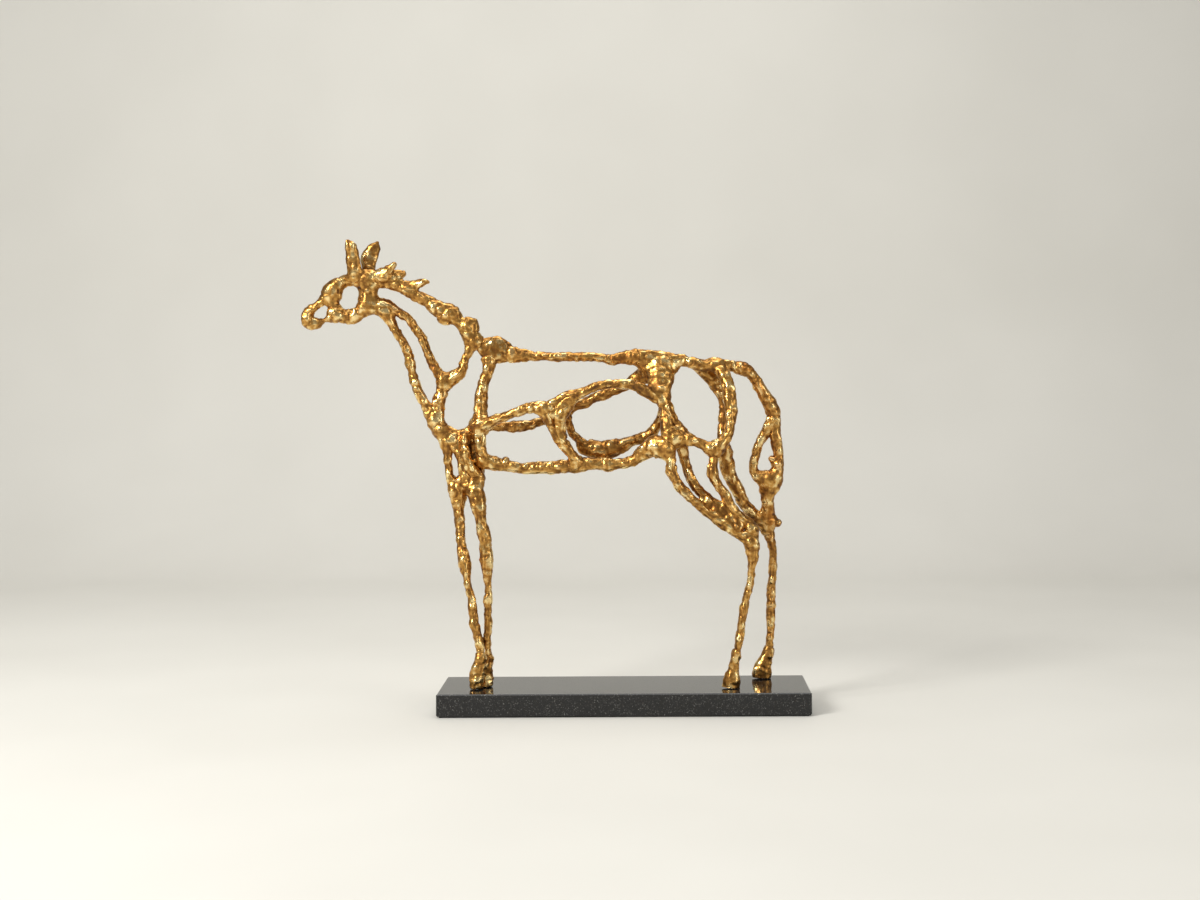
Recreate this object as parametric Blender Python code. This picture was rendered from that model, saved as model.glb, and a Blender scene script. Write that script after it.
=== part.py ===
"""Openwork horse of gilded rods, standing on a polished stone plinth.

The horse is built up from rods. Each rod is drawn along a smooth route, beaten broader or narrower
on the way, and notched at its ends to fit round the rods that it is welded to. Four screws come up
through the plinth into the hooves, and a felt sheet covers the plinth's underside.

Lengths are in millimetres and become metres where a mesh is made. +X runs towards the tail, +Y to
the horse's far side, +Z up. The origin is the centre of the felt's underside.
"""

import math

import bmesh
import bpy
import numpy as np
from mathutils import Vector
from mathutils.bvhtree import BVHTree

MM = 0.001

# Driving dimensions
PLINTH_LENGTH = 420.0
PLINTH_DEPTH = 108.0
PLINTH_THICKNESS = 25.0
PLINTH_CHAMFER = 1.2
FELT_THICKNESS = 1.2
FELT_INSET = 3.0
BARREL_LENGTH = 200.0
CANNON_LENGTH = 120.0
STANCE_WIDTH = 58.0
ROD_DIAMETER = 10.0
PLATE_THICKNESS = 12.0
SCREW_DIAMETER = 5.0
SCREW_ENGAGEMENT = 13.0
HEAD_DIAMETER = 10.0
HEAD_HEIGHT = 4.0
SOCKET_ACROSS = 4.0
SOCKET_DEPTH = 2.4
COUNTERBORE_DEPTH = 8.0
BORE_CLEARANCE = 0.5
COUNTERBORE_CLEARANCE = 1.5
WELD_GAP = 0.3

# How the routes below were drawn: a side view of the horse with these sizes, with heights from the
# felt's underside. It is seen from one point in front of the horse, so a drawn x and z is where the
# line of sight crosses the middle plane.
SIGHT_POINT = (28.7, -1914.5, 391.0)
DRAWN_TOP = 26.5
DRAWN_BARREL = (-155.0, 45.0)
DRAWN_CANNON = (35.0, 155.0)
DRAWN_STANCE = 58.0
DRAWN_ROD = 10.0

# The legs spread over these heights above the plinth: by nothing at the first, in full at the last
SPREAD_FROM = 240.0
SPREAD_TO = 120.0

# A rod has this many sides and a ring of corners this often. Its rounded ends reach out by this
# fraction of their half width, to a face this much smaller. The last three are a screw's two
# chamfers and how far a cutter stands out of what it cuts.
SIDES = 8
RING_SPACING = 11.0
END_REACH = 0.4
END_SHRINK = 0.6
HEAD_EDGE = 0.8
TIP_EDGE = 1.0
CUTTER_MARGIN = 1.0
PLINTH_BOTTOM = FELT_THICKNESS + WELD_GAP
PLINTH_TOP = PLINTH_BOTTOM + PLINTH_THICKNESS

GILT = (0.66, 0.44, 0.15)
STONE = (0.035, 0.036, 0.04)
FELT = (0.03, 0.035, 0.03)
STEEL = (0.55, 0.55, 0.56)

for old in list(bpy.data.objects):
    bpy.data.objects.remove(old)


# Objects and materials

def finish(name, colour, metallic, roughness):
    """One piece's own material."""
    material = bpy.data.materials.new(name + "_finish")
    material.use_nodes = True
    shader = material.node_tree.nodes["Principled BSDF"]
    shader.inputs["Base Color"].default_value = (*colour, 1.0)
    shader.inputs["Metallic"].default_value = metallic
    shader.inputs["Roughness"].default_value = roughness
    return material


def piece(name, bm, place=(0.0, 0.0, 0.0), parent=None):
    """Makes an object from a bmesh drawn in millimetres round its own origin."""
    bmesh.ops.scale(bm, vec=(MM, MM, MM), verts=bm.verts)
    bmesh.ops.recalc_face_normals(bm, faces=bm.faces)
    mesh = bpy.data.meshes.new(name)
    bm.to_mesh(mesh)
    bm.free()
    made = bpy.data.objects.new(name, mesh)
    made.location = Vector(place) * MM
    made.parent = parent
    bpy.context.scene.collection.objects.link(made)
    return made


def hidden(cutter):
    """Marks a cutter, so that it isn't part of the object."""
    cutter.hide_render = True
    cutter.display_type = "WIRE"
    return cutter


def cut(target, cutter):
    """Takes the cutter's shape out of the target."""
    boolean = target.modifiers.new("cut_for_" + cutter.name, "BOOLEAN")
    boolean.operation = "DIFFERENCE"
    boolean.solver = "EXACT"
    boolean.use_self = True
    boolean.object = cutter


def cylinder(radius, low, high, sides=16):
    """A bmesh cylinder standing on the origin's axis."""
    bm = bmesh.new()
    bmesh.ops.create_cone(
        bm, cap_ends=True, segments=sides, radius1=radius, radius2=radius, depth=high - low,
    )
    bmesh.ops.translate(bm, vec=(0.0, 0.0, (low + high) / 2), verts=bm.verts)
    return bm


# Rods

def stretched(value, drawn, length):
    """Moves a drawn coordinate where the stretch between the two drawn ends gets a new length."""
    start, end = drawn
    return value + (length / (end - start) - 1.0) * (np.clip(value, start, end) - start)


def laid_out(points):
    """The drawn points, with widths, at the horse's real sizes and above the plinth's top.

    Each point first moves along its line of sight, from the middle plane to its own y.
    """
    real = np.array(points, float)
    out = 1.0 - real[:, 1] / SIGHT_POINT[1]
    real[:, 0] = SIGHT_POINT[0] + (real[:, 0] - SIGHT_POINT[0]) * out
    on_plinth = real[:, 2] == DRAWN_TOP
    real[:, 2] = SIGHT_POINT[2] + (real[:, 2] - SIGHT_POINT[2]) * out - DRAWN_TOP
    real[on_plinth, 2] = 0.0
    spread = np.clip((SPREAD_FROM - real[:, 2]) / (SPREAD_FROM - SPREAD_TO), 0.0, 1.0)
    real[:, 1] *= 1.0 + (STANCE_WIDTH / DRAWN_STANCE - 1.0) * spread
    growth = BARREL_LENGTH - (DRAWN_BARREL[1] - DRAWN_BARREL[0])
    real[:, 0] = stretched(real[:, 0], DRAWN_BARREL, BARREL_LENGTH) - growth / 2
    real[:, 2] = stretched(real[:, 2], DRAWN_CANNON, CANNON_LENGTH)
    real[:, 3] *= ROD_DIAMETER / DRAWN_ROD
    return real


def smooth_route(points):
    """A cubic curve through the points, each with its width, read at even steps."""
    legs = np.linalg.norm(np.diff(points[:, :3], axis=0), axis=1)
    along = np.concatenate([[0.0], np.cumsum(legs)])
    slopes = np.gradient(points, along, axis=0)
    steps = max(2, math.ceil(along[-1] / RING_SPACING))
    reading = np.linspace(0.0, along[-1], steps + 1)
    leg = np.clip(np.searchsorted(along, reading, side="right") - 1, 0, len(legs) - 1)
    span = legs[leg][:, None]
    t = ((reading - along[leg]) / legs[leg])[:, None]
    start = points[leg] * (2 * t**3 - 3 * t**2 + 1) + slopes[leg] * span * (t**3 - 2 * t**2 + t)
    end = points[leg + 1] * (3 * t**2 - 2 * t**3) + slopes[leg + 1] * span * (t**3 - t**2)
    return start + end


def rings(points, grown, flat, on_sole):
    """The rod's cross-sections: one octagon at each step, closed by a smaller one past each rounded end.

    An octagon is as wide as the rod across its route, and as thick as the mean of that width and the
    plain rod's. A rod that stands on its sole has its last octagon level.
    """
    read = smooth_route(laid_out(points))
    centres = read[:, :3]
    tangents = np.gradient(centres, axis=0)
    if on_sole:
        tangents[-1] = (0.0, 0.0, -1.0)
    tangents /= np.linalg.norm(tangents, axis=1)[:, None]
    across = np.cross(tangents, (0.0, 1.0, 0.0))
    across /= np.linalg.norm(across, axis=1)[:, None]
    deep = np.cross(across, tangents)
    half_width = read[:, 3] / 2
    half_depth = flat * np.sqrt(half_width * ROD_DIAMETER / 2)
    first = centres[:1] - tangents[:1] * (END_REACH * half_width[0] + grown)
    last = centres[-1:] + tangents[-1:] * (END_REACH * half_width[-1] * (not on_sole) + grown)
    centres = np.concatenate([first, centres, last])
    pick = np.concatenate([[0], np.arange(len(read)), [len(read) - 1]])
    shrink = np.ones(len(pick))
    shrink[0] = END_SHRINK
    shrink[-1] = 1.0 if on_sole else END_SHRINK
    if on_sole and not grown:
        centres, pick, shrink = centres[:-1], pick[:-1], shrink[:-1]
    half_width = (half_width + grown)[pick] * shrink
    half_depth = (half_depth + grown)[pick] * shrink
    turn = (np.arange(SIDES) + 0.5) * 2 * math.pi / SIDES
    sideways = across[pick][:, None, :] * (half_width[:, None] * np.cos(turn))[:, :, None]
    inwards = deep[pick][:, None, :] * (half_depth[:, None] * np.sin(turn))[:, :, None]
    return centres[:, None, :] + sideways + inwards


def tube(corners, origin):
    """A closed bmesh skin over the rings, round the given origin."""
    bm = bmesh.new()
    rows = [[bm.verts.new(corner - origin) for corner in ring] for ring in corners]
    for row, next_row in zip(rows, rows[1:]):
        for side in range(SIDES):
            after = (side + 1) % SIDES
            bm.faces.new((row[side], row[after], next_row[after], next_row[side]))
    bm.faces.new(rows[0])
    bm.faces.new(rows[-1])
    return bm


def solid_tree(made):
    """The object's faces, where they stand, for finding what they touch."""
    corners = [made.matrix_world @ vertex.co for vertex in made.data.vertices]
    return BVHTree.FromPolygons(corners, [face.vertices for face in made.data.polygons])


placed = []


def notch(made, clearance):
    """Cuts the new piece to fit round every piece already in place that it meets, and adds it to them."""
    bpy.context.view_layer.update()
    tree = solid_tree(made)
    for earlier in placed:
        if tree.overlap(solid_tree(earlier)):
            cut(made, earlier)
    placed.append(hidden(clearance))


def rod(name, points, flat=1.0, on_sole=False):
    """One rod of the horse. Each point is x, y, z and the rod's width there.

    The rod's thickness is also multiplied by flat.
    """
    bodies = []
    for label, grown in ((name, 0.0), ("space_for_" + name, WELD_GAP)):
        corners = rings(points, grown, flat, on_sole)
        origin = corners[0].mean(axis=0)
        bodies.append(piece(label, tube(corners, origin), origin, horse))
    made, clearance = bodies
    made.data.shade_smooth()
    made.data.materials.append(finish(name, GILT, 1.0, 0.35))
    notch(made, clearance)
    return made


def plate(name, outline):
    """A flat plate of the horse, cut to a drawn outline and standing across the horse's middle."""
    bodies = []
    for label, grown in ((name, 0.0), ("space_for_" + name, WELD_GAP)):
        flat_points = [(x, 0.0, z, 0.0) for x, z in outline]
        corners = laid_out(flat_points)[:, [0, 2]]
        before = corners - np.roll(corners, 1, axis=0)
        after = np.roll(corners, -1, axis=0) - corners
        before /= np.linalg.norm(before, axis=1)[:, None]
        after /= np.linalg.norm(after, axis=1)[:, None]
        outward = np.stack([-(before + after)[:, 1], (before + after)[:, 0]], axis=1)
        outward /= (1.0 + (before * after).sum(axis=1))[:, None]
        origin = np.array([corners[0, 0], 0.0, corners[0, 1]])
        half = PLATE_THICKNESS / 2 + grown
        bm = bmesh.new()
        face = bm.faces.new([
            bm.verts.new(np.array([x, -half, z]) - origin) for x, z in corners + grown * outward
        ])
        extruded = bmesh.ops.extrude_face_region(bm, geom=[face])
        moved = [item for item in extruded["geom"] if isinstance(item, bmesh.types.BMVert)]
        bmesh.ops.translate(bm, vec=(0.0, 2 * half, 0.0), verts=moved)
        bodies.append(piece(label, bm, origin, horse))
    made, clearance = bodies
    made.data.materials.append(finish(name, GILT, 1.0, 0.35))
    notch(made, clearance)
    return made


horse = bpy.data.objects.new("horse", None)
horse.location = (0.0, 0.0, (PLINTH_TOP + WELD_GAP) * MM)
bpy.context.scene.collection.objects.link(horse)


# The horse, from head to tail

def head():
    """The muzzle, brow, jaw and cheek, welded round an open eye and an open nostril, and both ears."""
    rod("brow_bar", [
        (-364, 0, 449, 11), (-362, 0, 455, 11), (-353, 0, 462, 9), (-345, 0, 469, 10),
        (-338, 0, 479, 13), (-328, 0, 487, 12), (-316, 0, 492, 13), (-303, 0, 493, 15),
        (-293, 0, 494, 17),
    ])
    rod("jaw_bar", [
        (-334, 0, 452, 9), (-326, 0, 451, 15), (-317, 0, 451, 17), (-308, 0, 452, 17),
        (-300, 0, 457, 16), (-294, 0, 464, 15),
    ])
    rod("lip_bar", [
        (-363, 0, 449, 13), (-358, 0, 443, 14), (-350, 0, 443, 11), (-343, 0, 446, 6),
        (-336, 0, 449, 7), (-329, 0, 452, 8),
    ])
    rod("nose_bar", [
        (-329, 0, 487, 14), (-331, 0, 477, 18), (-333, 0, 467, 14), (-331, 0, 459, 13),
        (-328, 0, 451, 12),
    ])
    rod("cheek_bar", [
        (-297, 0, 494, 16), (-293, 0, 482, 18), (-292, 0, 472, 18), (-292, 0, 462, 17),
    ])
    rod("near_ear", [
        (-308, -6, 497, 13), (-309, -8, 508, 15), (-310, -9, 518, 15), (-311, -10, 527, 13),
        (-314, -11, 534, 10), (-316, -11, 538, 4),
    ], flat=0.6)
    rod("far_ear", [
        (-292, 6, 497, 11), (-292, 8, 508, 14), (-291, 9, 517, 18), (-287, 10, 525, 17),
        (-283, 11, 532, 12), (-281, 11, 536, 4),
    ], flat=0.6)


def neck():
    """The withers plate, the crest with its tufts of mane, and the two bars and brace under it."""
    plate("withers_plate", [
        (-176, 425), (-166, 427), (-150, 431), (-138, 426), (-128, 420), (-119, 412), (-119, 402),
        (-127, 399), (-139, 399), (-142, 393), (-152, 389), (-161, 393), (-162, 411), (-170, 413),
    ])
    rod("crest_bar", [
        (-293, 0, 494, 17), (-283, 0, 494, 20), (-272, 0, 493, 21), (-262, 0, 489, 18),
        (-254, 0, 484, 14), (-246, 0, 479, 13), (-236, 0, 474, 13), (-226, 0, 469, 14),
        (-215, 0, 461, 18), (-205, 0, 456, 21), (-197, 0, 452, 22), (-188, 0, 443, 13),
        (-180, 0, 438, 20), (-174, 0, 428, 17), (-168, 0, 419, 11),
    ])
    rod("neck_bar", [
        (-294, 0, 465, 13), (-282, 0, 464, 15), (-270, 0, 461, 15), (-261, 0, 457, 12),
        (-248, 0, 449, 9), (-236, 0, 434, 9), (-229, 0, 421, 9), (-224, 0, 408, 9),
        (-217, 0, 392, 10), (-210, 0, 380, 11), (-208, 0, 366, 12), (-212, 0, 352, 14),
        (-214, 0, 337, 15), (-211, 0, 322, 11),
    ])
    rod("throat_bar", [
        (-285, 0, 460, 12), (-276, 0, 456, 13), (-268, 0, 447, 12), (-262, 0, 436, 10),
        (-251, 0, 417, 10), (-245, 0, 400, 10), (-241, 0, 382, 10), (-236, 0, 366, 10),
        (-229, 0, 352, 10), (-221, 0, 336, 11), (-213, 0, 322, 12), (-202, 0, 312, 12),
    ])
    rod("neck_brace", [
        (-207, 0, 373, 12), (-201, 0, 376, 17), (-194, 0, 380, 15), (-185, 0, 388, 11),
        (-182, 0, 399, 9), (-178, 0, 409, 9), (-173, 0, 420, 10),
    ])
    rod("poll_tuft", [
        (-276, -4, 497, 12), (-268, -5, 505, 9), (-262, -6, 511, 4),
    ])
    rod("mane_tuft", [
        (-264, 3, 492, 11), (-257, 4, 499, 9), (-251, 5, 500, 5),
    ])
    rod("mane_leaf", [
        (-251, 0, 483, 9), (-243, -1, 486, 9), (-234, -3, 488, 10), (-227, -4, 490, 6),
        (-223, -4, 490, 3),
    ], flat=0.8)


def back():
    """The rump plate, the back rail in two lengths, and the croup."""
    plate("rump_plate", [
        (6, 408), (12, 412), (45, 410), (68, 406), (84, 400), (82, 394), (70, 398), (61, 391),
        (52, 389), (44, 379), (32, 377), (24, 385), (16, 391), (6, 397),
    ])
    rod("back_rail_front", [
        (-128, 0, 406, 11), (-100, 0, 404, 10), (-60, 0, 403, 10), (-30, 0, 402, 10),
        (-12, 0, 399, 9),
    ])
    rod("back_rail_rear", [
        (-10, 0, 400, 9), (-2, 0, 402, 11), (14, 0, 403, 11),
    ])
    rod("croup_bar", [
        (78, 0, 396, 8), (92, 0, 392.5, 9), (104, 0, 393, 10), (114, 2, 393.5, 11),
        (126, 4, 391, 12), (138, 6, 388, 12),
    ])


def chest():
    """The yoke between neck and shoulder, the shoulder strut, and the strands down the chest."""
    rod("chest_yoke", [
        (-208, 0, 319, 17), (-196, 0, 312, 17), (-185, -1, 312, 17), (-176, -2, 315, 18),
        (-166, -4, 322, 18),
    ])
    rod("shoulder_strut", [
        (-154, 0, 399, 11), (-156.5, -1, 384, 12), (-161, -2, 370, 12), (-163, -3, 360, 14),
        (-164, -4, 348, 15), (-164, -5, 338, 15), (-165, -5, 322, 16),
    ])
    rod("chest_core", [
        (-168, 4, 326, 17), (-171, 5, 312, 19), (-172, 6, 298, 19), (-171, 5, 284, 19),
        (-169, 3, 270, 18), (-169, 0, 258, 16),
    ])
    rod("chest_front_strand", [
        (-202, -2, 308, 11), (-193, -4, 300, 11), (-188, -6, 290, 10), (-185, -6, 280, 9),
        (-181, -6, 270, 9), (-180, -6, 258, 9),
    ])
    rod("chest_middle_strand", [
        (-182, -9, 314, 8), (-182, -10, 300, 8), (-180, -11, 288, 8), (-176, -11, 278, 8),
        (-170, -9, 270, 8),
    ])
    rod("chest_rear_strand", [
        (-164, -8, 322, 10), (-165, -10, 310, 12), (-164, -11, 298, 11), (-160, -10, 288, 10),
        (-150, -6, 281, 10),
    ])
    rod("breast_strip", [
        (-208, -1, 316, 8), (-205, -2, 305, 9), (-203, -2, 292, 8), (-202, -2, 280, 8),
        (-200, -2, 268, 8), (-197, -2, 257, 9), (-193, -2, 247, 10),
    ])


def forelegs():
    """Both forelegs and their hooves. Returns each hoof with the point of its sole."""
    rod("near_fore_leg", [
        (-186, -4, 264, 12), (-189, -3, 252, 16), (-190, -1, 240, 17), (-189, -1, 222, 12),
        (-188, -3, 206, 11), (-187, -5, 190, 10), (-185, -6, 178, 13), (-183.5, -7, 169, 15),
        (-182, -8, 160, 13), (-181, -10, 150, 8), (-179, -11, 140, 8), (-176, -12, 129, 9),
        (-175, -13, 118, 10), (-173.5, -14, 108, 10), (-172.5, -15, 99, 10),
        (-169.5, -17, 88, 10), (-167, -18, 77, 10), (-166, -19, 67, 8), (-165, -21, 56, 8),
    ])
    rod("far_fore_leg", [
        (-170, -4, 264, 20), (-171, -8, 252, 20), (-168, -11, 240, 19), (-166, -12, 228, 16),
        (-164, -12, 216, 12), (-162, -12, 204, 14), (-159, -12, 192, 13),
        (-158.5, -12, 180, 14), (-158, -12, 170, 15), (-157, -12, 158, 12),
        (-156.5, -12, 148, 9), (-156, -11, 138, 7), (-156.5, -11, 126, 9), (-156, -10, 114, 8),
        (-156.5, -10, 102, 8), (-157, -9, 90, 8), (-157, -9, 78, 8), (-156.5, -8, 66, 7),
        (-157, -8, 54, 7),
    ])
    near_fore_hoof_route = [
        (-165.5, -21, 59, 9), (-167, -21, 51, 13), (-169, -22, 44, 16), (-170, -22, 36, 16),
        (-170, -22, 26.5, 15),
    ]
    far_fore_hoof_route = [
        (-157, -8, 57, 8), (-158, -8, 47, 11), (-158, -8, 37, 13), (-158.5, -8, 26.5, 13),
    ]
    near = rod("near_fore_hoof", near_fore_hoof_route, on_sole=True)
    far = rod("far_fore_hoof", far_fore_hoof_route, on_sole=True)
    return {
        "near_fore_hoof": (near, near_fore_hoof_route[-1]),
        "far_fore_hoof": (far, far_fore_hoof_route[-1]),
    }


def barrel():
    """The belly rail in two lengths, and the ribs and flank bars on both sides."""
    rod("belly_rail_front", [
        (-166, -3, 288, 12), (-156, -4, 283, 14), (-146, -4, 280, 13), (-130, -4, 278, 12),
        (-116, -4, 275, 12), (-100, -4, 276, 13), (-84, -4, 276, 14), (-66, -4, 277, 15),
        (-48, -4, 279, 16), (-34, -4, 280, 14), (-20, -4, 279, 12),
    ])
    rod("belly_rail_rear", [
        (-18, -4, 279, 12), (-6, -5, 280, 11), (6, -6, 282, 12), (16, -8, 287, 13),
        (26, -11, 295, 19), (35, -15, 299, 25), (48, -19, 297, 24),
    ])
    rod("near_flank_bow", [
        (-166, -12, 324, 13), (-155, -13, 328, 12), (-145, -14, 332, 10), (-133, -15, 336, 9),
        (-122, -16, 340, 10), (-110, -17, 344, 12), (-98, -18, 346, 13), (-88, -19, 346, 12),
        (-78, -19, 351, 11), (-66, -20, 357, 11), (-54, -20, 360, 11), (-42, -21, 364, 10),
        (-30, -22, 369, 9), (-18, -22, 371, 9), (-6, -22, 372, 9), (4, -21, 371, 9),
        (14, -19, 369, 11), (25, -17, 364, 13), (36, -14, 358, 14), (46, -12, 351, 12),
    ])
    rod("near_rib", [
        (-93, -19, 344, 12), (-87, -19, 333, 11), (-82, -17, 322, 10), (-76, -15, 312, 11),
        (-68, -13, 302, 13), (-60, -11, 291, 11), (-54, -6, 281, 11),
    ])
    rod("rib_strip", [
        (-53, -18, 360, 8), (-62, -18, 350, 12), (-69, -18, 339, 12), (-72, -17, 330, 10),
        (-71, -16, 320, 9), (-69, -15, 312, 8),
    ])
    rod("far_flank_bar", [
        (-166, 5, 321, 10), (-150, 8, 323, 9), (-140, 10, 323, 10), (-128, 12, 323, 12),
        (-116, 13, 324, 12), (-104, 14, 326, 11), (-92, 16, 330, 10), (-80, 17, 334, 10),
        (-67, 18, 337, 10),
    ])
    rod("far_rib_lower", [
        (-67, 18, 338, 9), (-63, 18, 326, 8), (-59, 18, 316, 9), (-51, 17, 308, 9),
        (-45, 16, 300, 17), (-34, 15, 297, 21), (-22, 14, 296, 22), (-10, 14, 298, 20),
        (0, 14, 301, 16), (9, 14, 306, 12), (20, 14, 309, 12), (30, 13, 313, 12),
        (38, 11, 322, 11), (43, 8, 333, 9), (46, 2, 345, 9), (47, -4, 358, 10),
    ])
    rod("far_rib_upper", [
        (-68, 18, 335, 10), (-62, 18, 342, 10), (-54, 18, 347, 11), (-44, 18, 350, 12),
        (-34, 18, 355, 10), (-24, 18, 359, 11), (-12, 18, 363, 10), (0, 17, 368, 10),
        (10, 15, 374, 14), (20, 11, 379, 18), (32, 5, 384, 20),
    ])


def haunch():
    """The struts between the rump and the stifle, and the two buttock struts."""
    rod("near_rump_strut", [
        (46, -3, 392, 20), (44, -7, 380, 29), (44, -10, 367, 24), (47.5, -13, 352, 12),
        (48, -16, 340, 11), (49, -18, 330, 13), (52, -20, 320, 13), (58, -21, 311, 12),
    ])
    rod("stifle_bar", [
        (52, -20, 313, 13), (62, -21, 309, 14), (72, -22, 306, 11), (82, -22, 305, 11),
        (91, -22, 301, 11), (100, -22, 297, 13), (108, -22, 298, 13),
    ])
    rod("flank_strut", [
        (50, -13, 345, 9), (57, -12, 333, 9), (63, -13, 324, 9), (69, -16, 315, 10),
        (76, -20, 307, 10),
    ])
    rod("near_buttock_strut", [
        (104, 0, 394, 11), (113, -6, 385, 13), (119, -10, 375, 14), (121.5, -13, 363, 15),
        (123, -16, 350, 14), (124.5, -18, 338, 12), (124.5, -20, 326, 9), (122, -21, 315, 9),
        (116, -22, 305, 10), (106, -22, 294, 11),
    ])
    rod("far_buttock_strut", [
        (82, 2, 396, 8), (91, 6, 386.5, 12), (101, 10, 378, 15), (108, 13, 367, 14),
        (113, 15, 355, 10), (116, 16, 343, 10), (115, 16, 331, 11), (114, 15, 319, 11),
        (114, 13, 307, 12), (116, 12, 294, 13),
    ])


def hind_legs():
    """Both hind legs, their hooves and the thigh bars. Returns each hoof with the point of its sole."""
    rod("near_hind_leg", [
        (148, -24, 202, 14), (148, -24, 190, 15), (147.5, -24, 178, 15), (148, -24, 168, 11),
        (146.5, -24, 160, 8), (146, -24, 150, 8), (144, -24, 140, 8), (141.5, -24, 130, 8),
        (139, -24, 120, 8), (137, -24, 110, 8), (135.5, -24, 100, 8), (134, -24, 90, 8),
        (132.5, -24, 80, 9), (131, -24, 70, 8), (129, -24, 60, 7),
    ])
    rod("far_hind_leg", [
        (163, 26, 214, 13), (166, 29, 201, 13), (169, 30, 190, 10), (171, 31, 180, 9),
        (171.5, 32, 168, 9), (170.5, 32, 150, 9), (169, 33, 130, 10), (168.5, 33, 110, 10),
        (168, 34, 90, 9), (167, 34, 75, 8), (166.5, 34, 62, 8),
    ])
    near_hind_hoof_route = [
        (127.5, -24, 63, 7), (126, -24, 50, 10), (125, -24, 42, 13), (123.5, -24, 34, 18),
        (122.5, -24, 26.5, 19),
    ]
    far_hind_hoof_route = [
        (166, 34, 66, 8), (163, 34, 57, 13), (160, 34, 49, 18), (158, 34, 41, 22),
        (157.5, 34, 26.5, 21),
    ]
    near = rod("near_hind_hoof", near_hind_hoof_route, on_sole=True)
    far = rod("far_hind_hoof", far_hind_hoof_route, on_sole=True)
    rod("thigh_front_bar", [
        (50, -19, 318, 11), (53, -21, 302, 10), (54, -22, 287, 10), (55, -22, 273, 12),
        (62, -22, 258, 10.5), (70, -22, 247, 10.5), (82, -23, 236, 10), (95, -23, 225, 11),
        (108, -23, 215, 12), (120, -24, 206, 11), (132, -24, 199, 11), (146, -24, 189, 12),
    ])
    rod("thigh_middle_bar", [
        (106, -22, 300, 10), (104, -22, 290, 9), (103, -23, 278, 11), (103, -23, 267, 12),
        (107, -23, 257, 10), (114, -24, 247, 10), (120, -24, 237, 10), (127, -24, 227, 9),
        (136, -24, 217, 9), (145, -24, 209, 10), (148, -24, 203, 10),
    ])
    rod("thigh_inner_bar", [
        (66, -14, 307, 12), (69, -9, 291, 12), (72, -10, 278, 10.5), (77, -12, 264, 10.5),
        (84, -14, 252, 10.5), (92, -16, 243, 11), (102, -18, 235, 11), (112, -20, 227, 11),
        (122, -22, 217, 10), (132, -24, 205, 9),
    ])
    rod("thigh_rear_bar", [
        (116, 4, 298, 14), (118, 9, 284, 16), (120.5, 13, 270, 16), (127.5, 16, 256, 14.5),
        (133, 18, 245, 14), (138, 21, 234, 14), (145, 23, 225, 14), (154, 26, 216, 14),
        (165, 28, 206, 13),
    ])
    return {
        "near_hind_hoof": (near, near_hind_hoof_route[-1]),
        "far_hind_hoof": (far, far_hind_hoof_route[-1]),
    }


def tail():
    """The two strands of the tail and the switch that they grow into."""
    rod("tail_outer_strand", [
        (134, 6, 390, 12), (144, 7, 385, 12), (152, 8, 376, 12), (158, 9, 365, 13),
        (164, 10, 356, 15), (169.5, 11, 346, 17), (172.5, 12, 335, 15.5), (174, 12, 322, 13),
        (175, 12, 307, 13.5), (177.5, 13, 294, 11.5), (178, 13, 279, 12), (175, 14, 264, 13),
    ])
    rod("tail_switch", [
        (168, 14, 262, 25), (168, 15, 259, 27), (166, 16, 248, 20), (165, 18, 238, 14),
        (166, 21, 228, 13), (167, 26, 216, 13),
    ])
    rod("tail_inner_strand", [
        (170, 12, 330, 8), (162, 13, 315, 9), (155, 13, 300, 9), (151, 13, 286, 9),
        (149, 13, 276, 10), (153, 14, 266, 12), (162, 15, 260, 13),
    ])


# Plinth, felt and screws

def box(length, depth, low, high):
    """A bmesh box centred on the origin's axis."""
    bm = bmesh.new()
    bmesh.ops.create_cube(bm, size=1.0)
    bmesh.ops.scale(bm, vec=(length, depth, high - low), verts=bm.verts)
    bmesh.ops.translate(bm, vec=(0.0, 0.0, (low + high) / 2), verts=bm.verts)
    return bm


def turned(profile, steps=12):
    """A bmesh solid of revolution from radius and height pairs that start and end on the axis."""
    bm = bmesh.new()
    line = [bm.verts.new((radius, 0.0, height)) for radius, height in profile]
    edges = [bm.edges.new(pair) for pair in zip(line, line[1:])]
    bmesh.ops.spin(
        bm, geom=line + edges, axis=(0, 0, 1), cent=(0, 0, 0), angle=2 * math.pi, steps=steps,
    )
    bmesh.ops.remove_doubles(bm, verts=bm.verts, dist=0.001)
    return bm


def plinth():
    """The stone slab, with its edges chamfered."""
    slab = piece("stone_plinth", box(PLINTH_LENGTH, PLINTH_DEPTH, PLINTH_BOTTOM, PLINTH_TOP))
    chamfer = slab.modifiers.new("chamfer", "BEVEL")
    chamfer.width = PLINTH_CHAMFER * MM
    chamfer.segments = 1
    slab.data.materials.append(finish("stone_plinth", STONE, 0.0, 0.12))
    return slab


def felt():
    """The felt sheet under the plinth."""
    length = PLINTH_LENGTH - 2 * FELT_INSET
    depth = PLINTH_DEPTH - 2 * FELT_INSET
    sheet = piece("felt_sheet", box(length, depth, 0.0, FELT_THICKNESS))
    sheet.data.materials.append(finish("felt_sheet", FELT, 0.0, 0.95))


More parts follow.
